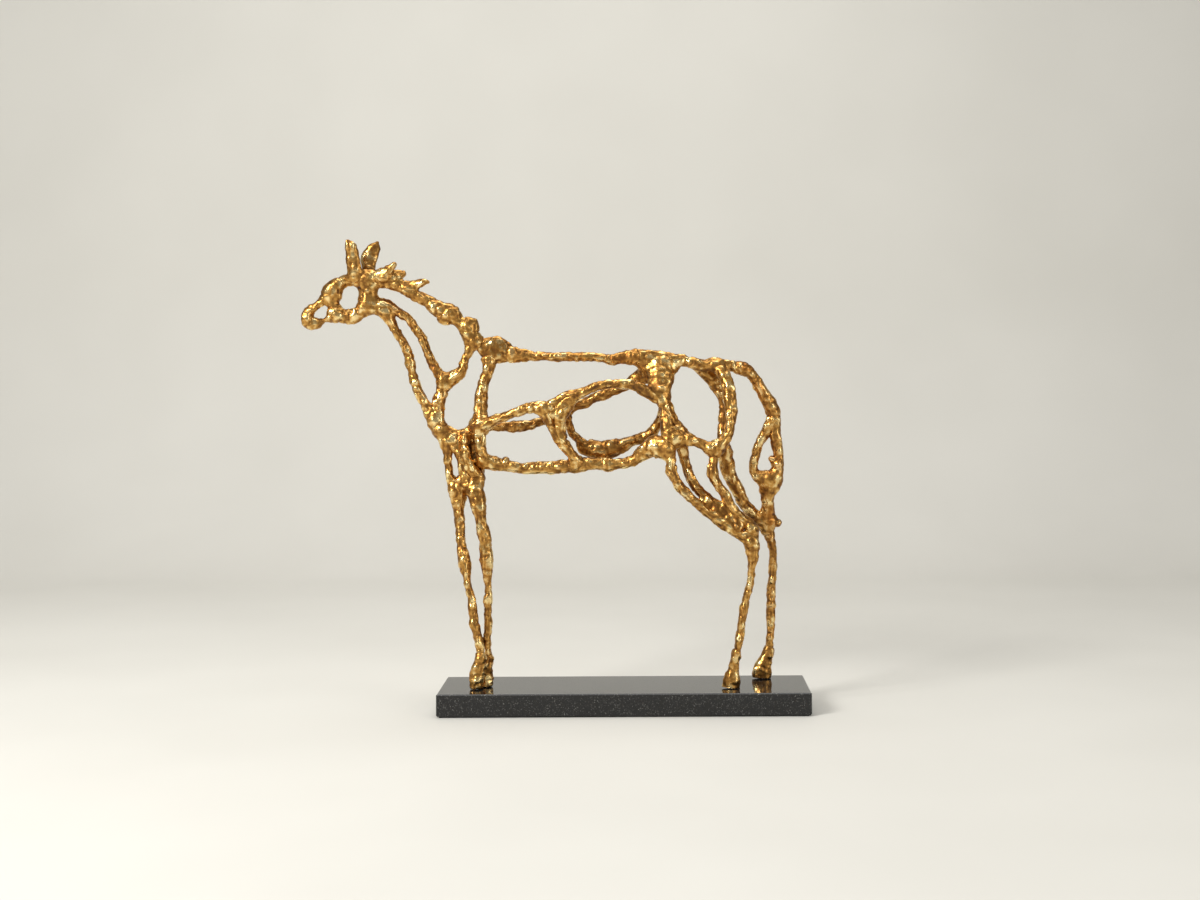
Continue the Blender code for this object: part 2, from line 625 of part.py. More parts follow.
def screw(name, hoof, sole, slab):
    """A socket screw from under the plinth into one hoof, with its bores in both."""
    x, y = laid_out([sole])[0, :2]
    shoulder = PLINTH_BOTTOM + COUNTERBORE_DEPTH
    head_top = shoulder - WELD_GAP
    head_bottom = head_top - HEAD_HEIGHT
    tip = PLINTH_TOP + WELD_GAP + SCREW_ENGAGEMENT
    shank = SCREW_DIAMETER / 2
    head = HEAD_DIAMETER / 2
    profile = [
        (0.0, head_bottom), (head - HEAD_EDGE, head_bottom), (head, head_bottom + HEAD_EDGE),
        (head, head_top), (shank, head_top), (shank, tip - TIP_EDGE), (shank - TIP_EDGE, tip), (0.0, tip),
    ]
    body = piece(name, turned(profile), (x, y, 0.0))
    body.data.shade_smooth()
    body.data.set_sharp_from_angle(angle=math.radians(40))
    body.data.materials.append(finish(name, STEEL, 1.0, 0.35))
    across_corners = SOCKET_ACROSS / math.sqrt(3.0)
    socket = cylinder(across_corners, head_bottom - CUTTER_MARGIN, head_bottom + SOCKET_DEPTH, sides=6)
    cut(body, hidden(piece("socket_of_" + name, socket, (x, y, 0.0))))
    thread = cylinder(shank + BORE_CLEARANCE, PLINTH_TOP - CUTTER_MARGIN, tip + CUTTER_MARGIN)
    cut(hoof, hidden(piece("thread_for_" + name, thread, (x, y, 0.0))))
    bore = cylinder(shank + BORE_CLEARANCE, PLINTH_BOTTOM - CUTTER_MARGIN, PLINTH_TOP + CUTTER_MARGIN)
    cut(slab, hidden(piece("bore_for_" + name, bore, (x, y, 0.0))))
    counterbore = cylinder(head + COUNTERBORE_CLEARANCE, PLINTH_BOTTOM - CUTTER_MARGIN, shoulder)
    cut(slab, hidden(piece("counterbore_for_" + name, counterbore, (x, y, 0.0))))


head()
neck()
back()
chest()
soles = forelegs()
barrel()
haunch()
soles.update(hind_legs())
tail()
slab = plinth()
felt()
for hoof_name, (hoof, sole) in soles.items():
    screw(hoof_name.replace("hoof", "screw"), hoof, sole, slab)
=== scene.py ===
"""The finished look of an openwork horse of gilded bars on a polished stone plinth.

+X runs towards the tail, +Y to the horse's far side, +Z up. The origin is the centre of the felt's
underside. Drawn sizes are in millimetres and become metres where a mesh is made.
"""

import math

import bpy
import numpy as np
from mathutils import Matrix, Vector


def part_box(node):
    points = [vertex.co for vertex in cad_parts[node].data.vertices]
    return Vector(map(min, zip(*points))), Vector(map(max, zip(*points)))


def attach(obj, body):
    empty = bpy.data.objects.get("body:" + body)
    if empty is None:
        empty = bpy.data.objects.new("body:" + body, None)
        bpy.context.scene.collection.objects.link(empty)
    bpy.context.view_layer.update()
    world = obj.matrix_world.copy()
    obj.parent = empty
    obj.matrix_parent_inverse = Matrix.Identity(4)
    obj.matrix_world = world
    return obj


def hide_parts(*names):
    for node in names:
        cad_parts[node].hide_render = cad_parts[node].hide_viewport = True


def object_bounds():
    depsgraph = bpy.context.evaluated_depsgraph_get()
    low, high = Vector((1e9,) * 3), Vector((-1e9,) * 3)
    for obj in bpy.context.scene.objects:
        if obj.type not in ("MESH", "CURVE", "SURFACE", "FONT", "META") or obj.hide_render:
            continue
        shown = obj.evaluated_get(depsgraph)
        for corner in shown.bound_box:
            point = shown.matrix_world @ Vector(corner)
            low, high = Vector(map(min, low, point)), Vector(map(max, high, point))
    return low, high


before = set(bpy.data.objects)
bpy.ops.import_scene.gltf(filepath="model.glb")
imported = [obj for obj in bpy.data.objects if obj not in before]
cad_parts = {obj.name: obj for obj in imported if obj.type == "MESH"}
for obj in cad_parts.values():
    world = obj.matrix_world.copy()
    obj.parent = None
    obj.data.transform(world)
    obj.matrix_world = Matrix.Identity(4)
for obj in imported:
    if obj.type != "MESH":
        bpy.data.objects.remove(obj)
cad_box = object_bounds()


# The plinth: a slab of black granite, sawn, polished all over and chamfered along its edges. The
# light minerals in it show as a grey speckle. It is the model's own solid, with the stone on it.

def new_material(name):
    """An empty node material. Returns it with its tree and its Principled shader."""
    material = bpy.data.materials.new(name)
    material.use_nodes = True
    tree = material.node_tree
    return material, tree, tree.nodes["Principled BSDF"]


def added(tree, kind, **values):
    """Adds a node, with its settings and the values of its inputs given by name."""
    node = tree.nodes.new(kind)
    for key, value in values.items():
        if key in node.inputs:
            node.inputs[key].default_value = value
        else:
            setattr(node, key, value)
    return node


def pattern(tree, kind, source, scale, **values):
    """A noise, cell or wave pattern on the object's own coordinates. A larger scale is finer."""
    node = added(tree, kind, **values)
    node.inputs["Scale"].default_value = scale
    tree.links.new(source, node.inputs["Vector"])
    return node


def graded(tree, source, stops):
    """A colour ramp from place and colour pairs."""
    ramp = added(tree, "ShaderNodeValToRGB")
    elements = ramp.color_ramp.elements
    while len(elements) < len(stops):
        elements.new(0.5)
    for element, (place, colour) in zip(elements, stops):
        element.position = place
        element.color = (*colour, 1.0)
    tree.links.new(source, ramp.inputs["Fac"])
    return ramp


def ranged(tree, source, low, high, to_low, to_high):
    """Maps a value from one range to another, and holds it there."""
    node = added(tree, "ShaderNodeMapRange")
    node.clamp = True
    sockets = ("From Min", "From Max", "To Min", "To Max")
    for socket, value in zip(sockets, (low, high, to_low, to_high)):
        node.inputs[socket].default_value = value
    tree.links.new(source, node.inputs["Value"])
    return node


def bumped(tree, shader, height, strength, depth):
    """Raises the surface by a height pattern, depth in metres."""
    bump = added(tree, "ShaderNodeBump", Strength=strength, Distance=depth)
    tree.links.new(height, bump.inputs["Height"])
    tree.links.new(bump.outputs["Normal"], shader.inputs["Normal"])


def granite():
    """Polished black granite: dark grains with scattered light flecks, clouded by slow dull drifts."""
    material, tree, shader = new_material("polished_black_granite")
    place = added(tree, "ShaderNodeTexCoord").outputs["Object"]
    grain = pattern(tree, "ShaderNodeTexVoronoi", place, 1100.0)
    cloud = pattern(tree, "ShaderNodeTexNoise", place, 90.0, Detail=4.0)
    fleck = graded(tree, grain.outputs["Color"], [
        (0.0, (0.004, 0.004, 0.004)), (0.58, (0.008, 0.008, 0.008)),
        (0.78, (0.016, 0.016, 0.015)), (0.96, (0.20, 0.196, 0.186)),
    ])
    dull = added(tree, "ShaderNodeMix", data_type="RGBA")
    dull.inputs["B"].default_value = (0.010, 0.010, 0.011, 1.0)
    tree.links.new(fleck.outputs["Color"], dull.inputs[6])
    clouding = ranged(tree, cloud.outputs["Fac"], 0.35, 0.65, 0.1, 0.6)
    tree.links.new(clouding.outputs["Result"], dull.inputs[0])
    tree.links.new(dull.outputs[2], shader.inputs["Base Color"])
    tree.links.new(
        ranged(tree, grain.outputs["Distance"], 0.0, 0.8, 0.05, 0.11).outputs["Result"],
        shader.inputs["Roughness"],
    )
    shader.inputs["IOR"].default_value = 1.45
    bumped(tree, shader, cloud.outputs["Fac"], 0.08, 0.00003)
    return material


def put_on(node, material):
    """Gives one of the model's own solids its finish."""
    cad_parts[node].data.materials.clear()
    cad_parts[node].data.materials.append(material)


put_on("stone_plinth", granite())


# The felt: a thin sheet of pressed wool, glued flat under the slab so that it doesn't scratch the
# shelf. It has no weave, only a short dark nap.

def felt():
    """Pressed wool: a fine tangled nap with slow shifts of tone."""
    material, tree, shader = new_material("pressed_felt")
    place = added(tree, "ShaderNodeTexCoord").outputs["Object"]
    fibre = pattern(tree, "ShaderNodeTexNoise", place, 2600.0, Detail=3.0)
    drift = pattern(tree, "ShaderNodeTexNoise", place, 140.0, Detail=2.0)
    both = added(tree, "ShaderNodeMath", operation="MULTIPLY")
    tree.links.new(fibre.outputs["Fac"], both.inputs[0])
    tree.links.new(drift.outputs["Fac"], both.inputs[1])
    tone = graded(tree, both.outputs["Value"], [
        (0.1, (0.012, 0.014, 0.012)), (0.45, (0.045, 0.05, 0.043)),
    ])
    tree.links.new(tone.outputs["Color"], shader.inputs["Base Color"])
    shader.inputs["Roughness"].default_value = 0.95
    shader.inputs["Sheen Weight"].default_value = 0.4
    bumped(tree, shader, fibre.outputs["Fac"], 0.6, 0.0003)
    return material


# The grid's spacing, the nap's depth, and its two waves with the slower ones that push them, in
# metres and in radians a metre.
FELT_STEP = 0.003
NAP = 0.00012
NAP_WAVES = (520.0, 610.0)
NAP_DRIFTS = (130.0, 110.0)
NAP_PUSH = 2.0


def pressed_sheet(name, low, high):
    """A thin closed slab: an even grid below and one above, joined round the edge.

    The underside lies in two crossed sine waves, each pushed sideways by a slower one, so that it
    rises and falls by the depth of the nap.
    """
    columns = round((high.x - low.x) / FELT_STEP) + 1
    rows = round((high.y - low.y) / FELT_STEP) + 1
    x, y = np.meshgrid(
        np.linspace(low.x, high.x, columns), np.linspace(low.y, high.y, rows), indexing="ij",
    )
    lengthways = np.sin(x * NAP_WAVES[0] + NAP_PUSH * np.sin(y * NAP_DRIFTS[0]))
    crossways = np.sin(y * NAP_WAVES[1] + NAP_PUSH * np.sin(x * NAP_DRIFTS[1]))
    rise = NAP * (0.5 + 0.25 * (lengthways + crossways))
    below = np.stack([x, y, low.z + rise], axis=-1).reshape(-1, 3)
    above = np.stack([x, y, np.full_like(x, high.z)], axis=-1).reshape(-1, 3)
    place = np.arange(columns * rows).reshape(columns, rows)
    corners = [place[:-1, :-1], place[:-1, 1:], place[1:, 1:], place[1:, :-1]]
    square = np.stack(corners, axis=-1).reshape(-1, 4)
    rim = np.concatenate([place[:, 0], place[-1, 1:], place[-2::-1, -1], place[0, -2:0:-1]])
    ahead = np.roll(rim, -1)
    edge = np.stack([rim, ahead, ahead + place.size, rim + place.size], axis=-1)
    mesh = bpy.data.meshes.new(name)
    faces = np.concatenate([square, square[:, ::-1] + place.size, edge])
    mesh.from_pydata(np.concatenate([below, above]).tolist(), [], faces.tolist())
    made = bpy.data.objects.new(name, mesh)
    bpy.context.scene.collection.objects.link(made)
    return made


felt_low, felt_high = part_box("felt_sheet")
felt_pad = pressed_sheet("felt_pad", felt_low, felt_high)
felt_pad.data.materials.append(felt())
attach(felt_pad, "root")
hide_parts("felt_sheet")


# The screws: four socket screws of plain steel, sunk in the slab's underside and run up into the
# hooves. Their heads are turned, which leaves fine rings.

def turned_steel():
    """Steel with fine level rings and faint cloudy stains."""
    material, tree, shader = new_material("turned_steel")
    place = added(tree, "ShaderNodeTexCoord").outputs["Object"]
    rings = pattern(tree, "ShaderNodeTexWave", place, 900.0, bands_direction="Z", Distortion=1.5)
    stain = pattern(tree, "ShaderNodeTexNoise", place, 300.0, Detail=3.0)
    tone = graded(tree, stain.outputs["Fac"], [
        (0.3, (0.40, 0.40, 0.41)), (0.7, (0.60, 0.60, 0.61)),
    ])
    tree.links.new(tone.outputs["Color"], shader.inputs["Base Color"])
    tree.links.new(
        ranged(tree, stain.outputs["Fac"], 0.3, 0.7, 0.28, 0.45).outputs["Result"],
        shader.inputs["Roughness"],
    )
    shader.inputs["Metallic"].default_value = 1.0
    bumped(tree, shader, rings.outputs["Fac"], 0.3, 0.00004)
    return material


steel = turned_steel()
for corner in ("near_fore", "far_fore", "near_hind", "far_hind"):
    put_on(corner + "_screw", steel)


# The forelegs: two legs and two hooves of gilded metal, modelled by hand round a core and beaten
# uneven. A screw from under the slab holds each hoof. What all the horse's bars share is here too.

# The point that the drawing is seen from, and the slab's top as drawn and as it stands.
SIGHT_POINT = (28.7, -1914.5, 391.0)
DRAWN_TOP = 26.5
HOOF_GAP = 0.3
STANDING_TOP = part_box("stone_plinth")[1].z * 1000.0 + HOOF_GAP

# The skin of a bar: the width that is as deep as it is wide, its rows and sides, and its two ends.
PLAIN_WIDTH = 10.0
RING_EVERY = 0.8
SIDES = 44
DOME_RINGS = 6
DOME_REACH = 0.7
SOLE_EDGE = 1.2

# A weld: the fillet's size, how far off a neighbour still counts, the length of the links that it is
# measured by, and the least and most that a gap counts as.
FILLET = 2.8
REACH = 14.0
NEAREST_CHAIN = 2.5
DEEPEST_GAP = -8.0
WIDEST_GAP = 40.0

# How the skin moves along its rays, and the box that it is kept inside.
SPARE = 0.35
MARCH_STEPS = 5
MARCH_SHARE = 0.8
SHORTEST_RAY = 0.72
LONGEST_RAY = 1.75
MODEL_BOX = np.array(cad_box) * 1000.0
BOX_MARGIN = 0.1


def smooth_route(points, spacing):
    """A cubic curve through drawn points of x, y, z and width, read at even steps.

    Each point first moves along the line of sight from the middle plane to its own y. Between two
    points the curve is the Hermite cubic whose slopes are the slopes of the whole row there.
    """
    drawn = np.array(points, float)
    out = 1.0 - drawn[:, 1] / SIGHT_POINT[1]
    drawn[:, 0] = SIGHT_POINT[0] + (drawn[:, 0] - SIGHT_POINT[0]) * out
    on_plinth = drawn[:, 2] == DRAWN_TOP
    drawn[:, 2] = SIGHT_POINT[2] + (drawn[:, 2] - SIGHT_POINT[2]) * out
    drawn[on_plinth, 2] = DRAWN_TOP
    drawn[:, 2] += STANDING_TOP - DRAWN_TOP
    legs = np.linalg.norm(np.diff(drawn[:, :3], axis=0), axis=1)
    along = np.concatenate([[0.0], np.cumsum(legs)])
    slopes = np.gradient(drawn, along, axis=0)
    reading = np.linspace(0.0, along[-1], max(3, math.ceil(along[-1] / spacing)) + 1)
    leg = np.clip(np.searchsorted(along, reading, side="right") - 1, 0, len(legs) - 1)
    span = legs[leg][:, None]
    t = ((reading - along[leg]) / legs[leg])[:, None]
    start = drawn[leg] * (2 * t**3 - 3 * t**2 + 1) + slopes[leg] * span * (t**3 - 2 * t**2 + t)
    end = drawn[leg + 1] * (3 * t**2 - 2 * t**3) + slopes[leg + 1] * span * (t**3 - t**2)
    return start + end, reading


def framed(centres):
    """Unit vectors along a route, across it in the side view, and through it."""
    tangents = np.gradient(centres, axis=0)
    tangents /= np.linalg.norm(tangents, axis=1)[:, None]
    across = np.cross(tangents, (0.0, 1.0, 0.0))
    across /= np.linalg.norm(across, axis=1)[:, None]
    return tangents, across, np.cross(across, tangents)


def lumps(places, size, seed):
    """Smooth random heights from -1 to 1, with features of the given size.

    Each corner of a cubic lattice has a height mixed from its three whole coordinates and the seed.
    Between the corners the heights are eased into one another.
    """
    cell = places / size
    base = np.floor(cell).astype(np.int64)
    part = cell - base
    ease = part * part * (3.0 - 2.0 * part)
    total = np.zeros(len(places))
    for corner in np.ndindex(2, 2, 2):
        x, y, z = (base + corner).T
        mixed = (x * 73856093) ^ (y * 19349663) ^ (z * 83492791) ^ (seed * 2654435761)
        mixed = ((mixed ^ (mixed >> 13)) * 1274126177) & 0xFFFFFFFF
        mixed = ((mixed ^ (mixed >> 16)) * 2246822519) & 0xFFFFFFFF
        weight = np.prod(np.where(corner, ease, 1.0 - ease), axis=1)
        total += weight * ((mixed ^ (mixed >> 15)) / 0x7FFFFFFF - 1.0)
    return total


def gap_to(chain, places):
    """About how far each place is outside a bar that is already made, below 0 inside it.

    The bar is a chain of short straight links with an oval section. A place's offset from the
    nearest point of a link is divided by the oval's half axes. Its length less 1 is then scaled
    back by the oval's mean half axis.
    """
    start, end = chain["centres"][:-1], chain["centres"][1:]
    link = end - start
    share = np.einsum("nmk,mk->nm", places[:, None] - start, link) / (link * link).sum(axis=1)
    share = np.clip(share, 0.0, 1.0)
    offset = places[:, None] - (start + share[:, :, None] * link)
    wide = chain["wide"][:-1] + share * np.diff(chain["wide"])
    deep = chain["deep"][:-1] + share * np.diff(chain["deep"])
    sideways = np.einsum("nmk,mk->nm", offset, chain["across"][:-1]) / wide
    inwards = np.einsum("nmk,mk->nm", offset, chain["through"][:-1]) / deep
    lengthways = np.einsum("nmk,mk->nm", offset, chain["tangents"][:-1]) / wide
    size = np.sqrt(sideways**2 + inwards**2 + lengthways**2)
    return ((size - 1.0) * np.sqrt(wide * deep)).min(axis=1)


def skin_of(name, vertices, faces, marks):
    """A smooth closed mesh object in metres, with one value a vertex for each named mark."""
    mesh = bpy.data.meshes.new(name)
    mesh.from_pydata((vertices / 1000.0).tolist(), [], faces)
    mesh.shade_smooth()
    for mark, values in marks.items():
        attribute = mesh.attributes.new(mark, "FLOAT", "POINT")
        attribute.data.foreach_set("value", values.astype(np.float32))
    made = bpy.data.objects.new(name, mesh)
    bpy.context.scene.collection.objects.link(made)
    return made


def antique_gilding():
    """Gold leaf over red-brown clay, rubbed back by hand.

    The relief mark says how high a place stands, and the colour follows it as painted light: a
    painted highlight makes the leaf bright on the swellings, it is duller on the slopes, and painted
    shade darkens it in the creases. The rubbed mark reddens the leaf as clay does from below, the aged
    mark is painted shade that browns bars standing in shade, and the bare mark shows the grey metal
    under it all.
    """
    material, tree, shader = new_material("antique_gilding")
    place = added(tree, "ShaderNodeTexCoord").outputs["Object"]
    marks = {
        mark: added(tree, "ShaderNodeAttribute", attribute_name=mark).outputs["Fac"]
        for mark in ("relief", "rubbed", "painted_shade", "bare")
    }
    speckle = pattern(tree, "ShaderNodeTexNoise", place, 520.0, Detail=3.0, Roughness=0.6)
    height = added(tree, "ShaderNodeMath", operation="MULTIPLY_ADD")
    height.inputs[1].default_value = 0.28
    tree.links.new(speckle.outputs["Fac"], height.inputs[0])
    tree.links.new(marks["relief"], height.inputs[2])
    # The ramp paints light: painted shade in the low creases, painted highlights on the swellings.
    gold_with_painted_light = graded(tree, height.outputs["Value"], [
        (0.20, (0.075, 0.032, 0.010)), (0.42, (0.27, 0.125, 0.030)),
        (0.64, (0.58, 0.315, 0.082)), (0.90, (0.98, 0.77, 0.370)),
    ])
    under = gold_with_painted_light.outputs["Color"]
    # The first layer is painted shade, browning the bars that stand in shade. The rubbed layer reddens
    # the leaf as the clay beneath shows, and the bare layer shows grey metal.
    for mark, blend, colour in (
        ("painted_shade", "MULTIPLY", (0.60, 0.50, 0.42)),
        ("rubbed", "MULTIPLY", (0.78, 0.50, 0.32)),
        ("bare", "MIX", (0.20, 0.20, 0.19)),
    ):
        layer = added(tree, "ShaderNodeMix", data_type="RGBA", blend_type=blend)
        layer.inputs[7].default_value = (*colour, 1.0)
        tree.links.new(marks[mark], layer.inputs[0])
        tree.links.new(under, layer.inputs[6])
        under = layer.outputs[2]
    tree.links.new(under, shader.inputs["Base Color"])
    tree.links.new(
        ranged(tree, height.outputs["Value"], 0.15, 0.45, 0.6, 1.0).outputs["Result"],
        shader.inputs["Metallic"],
    )
    tree.links.new(
        ranged(tree, height.outputs["Value"], 0.2, 0.85, 0.48, 0.19).outputs["Result"],
        shader.inputs["Roughness"],
    )
    bumped(tree, shader, speckle.outputs["Fac"], 0.5, 0.0005)
    return material


gilding = antique_gilding()
bars = []


def ray_fan(read, flat, sole):
    """The rays of a bar's skin: where each starts, the ray, and the route's reading at each row.

    Each row is an oval across the route. At both ends the rows close over a dome: an angle goes
    from a right angle at the pole to 0 at the first whole oval, and its cosine shrinks the oval.
    """
    centres, wide = read[:, :3], read[:, 3] / 2
    deep = flat * np.sqrt(wide * PLAIN_WIDTH / 2)
    tangents, across, through = framed(centres)
    last = len(centres) - 1
    reach = wide * DOME_REACH
    if sole:
        centres[last, 2] += SOLE_EDGE
        reach[last] = SOLE_EDGE
    rise = np.linspace(math.pi / 2, 0.0, DOME_RINGS + 1)[1:-1]
    pick = np.concatenate([
        np.zeros(len(rise), int), np.arange(len(centres)), np.full(len(rise), last),
    ])
    tilt = np.concatenate([-rise, np.zeros(len(centres)), rise[::-1]])
    turn = np.arange(SIDES) * 2 * math.pi / SIDES
    squeeze = np.cos(tilt)[:, None, None]
    rays = squeeze * (
        across[pick][:, None, :] * (wide[pick][:, None] * np.cos(turn))[:, :, None]
        + through[pick][:, None, :] * (deep[pick][:, None] * np.sin(turn))[:, :, None]
    ) + (tangents[pick] * (reach[pick] * np.sin(tilt))[:, None])[:, None, :]
    poles = np.stack([-tangents[0] * reach[0], tangents[last] * reach[last]])
    roots = np.concatenate([centres[:1], np.repeat(centres[pick], SIDES, axis=0), centres[last:]])
    rays = np.concatenate([poles[:1], rays.reshape(-1, 3), poles[1:]])
    return roots, rays, pick


# The lumps of the core: each kind's height and size in millimetres, and its seed.
CORE_LUMPS = ((0.75, 9.0, 1), (0.6, 4.4, 2))


def welded_places(roots, rays):
    """Where on its ray each place of the skin stands clear by the height of the core's lumps there.

    The level is a soft minimum of the distance to this bar's own oval and to each bar made before:
    -FILLET times the logarithm of the sum of exp(-distance / FILLET). Each step moves a place by
    most of what it is short of.
    """
    length = np.linalg.norm(rays, axis=1)
    low, high = roots.min(axis=0), roots.max(axis=0)
    welded = [
        other for other in bars
        if (other["low"] - REACH < high).all() and (other["high"] + REACH > low).all()
    ]
    out = np.ones(len(roots))
    for _ in range(MARCH_STEPS):
        places = roots + rays * out[:, None]
        own = (out - 1.0) * length
        joined = np.exp(-own / FILLET)
        for other in welded:
            near = ((places > other["low"] - REACH) & (places < other["high"] + REACH)).all(axis=1)
            if near.any():
                gap = np.clip(gap_to(other, places[near]), DEEPEST_GAP, WIDEST_GAP)
                joined[near] += np.exp(-gap / FILLET)
        clear = -FILLET * np.log(joined) - SPARE
        for height, size, seed in CORE_LUMPS:
            clear = clear - height * lumps(places, size, seed)
        out = np.clip(out - MARCH_SHARE * clear / length, SHORTEST_RAY, LONGEST_RAY)
    return roots + rays * out[:, None]


# The beaten surface: the height of each kind of unevenness, and its size, in millimetres, and how
# far on in the ridges' noise each next bar starts.
RIDGE, RIDGE_LENGTH, RIDGE_WIDTH, RIDGE_TWIST = 0.34, 13.0, 2.3, 0.012
FINE_RIDGE, FINER = 0.5, 2.1
LOBE, LOBE_SIZE = 0.46, 7.5
FOLD, FOLD_SIZE = 0.26, 4.1
GRIT, GRIT_SIZE = 0.05, 1.9
PIT, PITTED, PIT_SIZE, PIT_FROM = 0.3, 1.5, 3.1, 0.30
SWELL, CREASE = 2.6, 0.7
NEXT_PATTERN = 7.0


def swelling(places, size, seed):
    """Rounded swellings with narrow creases between: SWELL times the noise's size, less CREASE."""
    return SWELL * np.abs(lumps(places, size, seed)) - CREASE


def beaten(places, travel, theta, round_bar, streaks, pits):
    """How far the beaten surface stands above the core, in millimetres.

    Ridges are noise read on the bar unrolled: its travel along the route, and the two sides of its
    turn, which twists slowly. Lobes and folds are swellings of two sizes. Grit is fine noise, and
    a pit is where another noise passes PIT_FROM.
    """
    twist = theta + travel * RIDGE_TWIST
    local = np.stack([
        travel / RIDGE_LENGTH + len(bars) * NEXT_PATTERN,
        np.cos(twist) * round_bar / RIDGE_WIDTH,
        np.sin(twist) * round_bar / RIDGE_WIDTH,
    ], axis=1)
    ridges = lumps(local, 1.0, seed=3) + FINE_RIDGE * lumps(local * FINER, 1.0, seed=4)
    grit = lumps(places, GRIT_SIZE, seed=5)
    holes = np.clip(lumps(places, PIT_SIZE, seed=6) - PIT_FROM, 0.0, 1.0)
    lobes = swelling(places, LOBE_SIZE, seed=7)
    folds = swelling(places, FOLD_SIZE, seed=8)
    height = RIDGE * streaks * ridges + LOBE * lobes + FOLD * folds + GRIT * grit
    return height - (PIT + PITTED * pits) * holes


# How the gilding's marks vary: the relief's middle and slope, how much the rubbed places and the
# places of painted shade drift over how many millimetres, the most that is rubbed, and the size of a
# bare spot.
RELIEF_MIDDLE, RELIEF_SLOPE = 0.44, 0.42
RUB_DRIFT, RUB_SIZE, MOST_RUBBED = 1.8, 10.0, 0.8
SHADE_DRIFT, SHADE_SIZE = 0.6, 11.0
BARE_SPOT = 3.2


def gilding_marks(places, height, rubbed, painted_shade, bare):
    """The four marks that the gilding reads, each from 0 to 1 at every place.

    The relief drives painted highlights and painted shade, and the aged mark is painted shade for bars
    that stand in shade. The bare mark falls away from its spot in the side view as
    exp(-(distance / BARE_SPOT) squared).
    """
    rub = rubbed * (1.0 + RUB_DRIFT * lumps(places, RUB_SIZE, seed=9))
    shade_amount = painted_shade * (1.0 + SHADE_DRIFT * lumps(places, SHADE_SIZE, seed=10))
    spot = np.zeros(len(places))
    if bare:
        spot = np.exp(-(((places - np.array(bare))[:, [0, 2]] / BARE_SPOT) ** 2).sum(axis=1))
    return {
        "relief": np.clip(RELIEF_MIDDLE + RELIEF_SLOPE * height, 0.0, 1.0),
        "rubbed": np.clip(rub, 0.0, MOST_RUBBED),
        "painted_shade": np.clip(shade_amount, 0.0, 1.0),
        "bare": spot,
    }


def closed_faces(rows):
    """The faces of a skin of that many rows: squares between rows, and a fan round each pole."""
    ring = np.arange(SIDES)
    following = (ring + 1) % SIDES
    row = 1 + SIDES * np.arange(rows - 1)[:, None]
    sides = np.stack([row + ring, row + SIDES + ring, row + SIDES + following, row + following], axis=2)
    first_fan = np.stack([np.zeros(SIDES, int), 1 + ring, 1 + following], axis=1)
    end_row = 1 + SIDES * (rows - 1)
    end_pole = np.full(SIDES, end_row + SIDES)
    last_fan = np.stack([end_pole, end_row + following, end_row + ring], axis=1)
    return sides.reshape(-1, 4).tolist() + first_fan.tolist() + last_fan.tolist()


def chain_of(points, flat):
    """The bar as a chain of straight links, for gap_to to measure later bars from."""
    coarse, _ = smooth_route(points, NEAREST_CHAIN)
    centres, half = coarse[:, :3], coarse[:, 3] / 2
    tangents, across, through = framed(centres)
    return {
        "centres": centres, "wide": half, "deep": flat * np.sqrt(half * PLAIN_WIDTH / 2),
        "tangents": tangents, "across": across, "through": through,
        "low": centres.min(axis=0) - half.max(), "high": centres.max(axis=0) + half.max(),
    }


def bar(
    name, points, nodes=None, flat=1.0, sole=False,
    streaks=1.0, pits=0.0, rubbed=0.08, painted_shade=0.0, bare=None,
):
    """One gilded bar as a closed skin: an oval carried along a smooth route, with domed ends.

    The points are x, y, z and width. Every place on the skin lies on a ray from the route, and
    moves along it until it stands clear of this bar and of the bars already made, so that a bar
    swells into a fillet where it is welded on. Ridges, lobes, folds, grit and pits are added last.
    Nodes are the solids that it stands for: the one of its own name, unless others or none are
    given. A bar with a sole stands flat on the slab.
    """
    read, along = smooth_route(points, RING_EVERY)
    roots, rays, pick = ray_fan(read, flat, sole)
    places = welded_places(roots, rays)
    turn = np.arange(SIDES) * 2 * math.pi / SIDES
    theta = np.concatenate([[0.0], np.tile(turn, len(pick)), [0.0]])
    travel = np.concatenate([[0.0], np.repeat(along[pick], SIDES), [along[-1]]])
    rows = np.concatenate([[0], np.repeat(pick, SIDES), [len(read) - 1]])
    height = beaten(places, travel, theta, read[rows, 3] / 2, streaks, pits)
    places = places + rays / np.linalg.norm(rays, axis=1)[:, None] * height[:, None]
    if sole:
        places[:, 2] = np.maximum(places[:, 2], STANDING_TOP)
    places = np.clip(places, MODEL_BOX[0] + BOX_MARGIN, MODEL_BOX[1] - BOX_MARGIN)
    marks = gilding_marks(places, height, rubbed, painted_shade, bare)
    made = skin_of(name, places, closed_faces(len(pick)), marks)
    made.data.materials.append(gilding)
    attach(made, "root")
    stands_for = [name.removesuffix("_gilded")] if nodes is None else nodes
    if stands_for:
        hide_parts(*stands_for)
    bars.append(chain_of(points, flat))
    return made


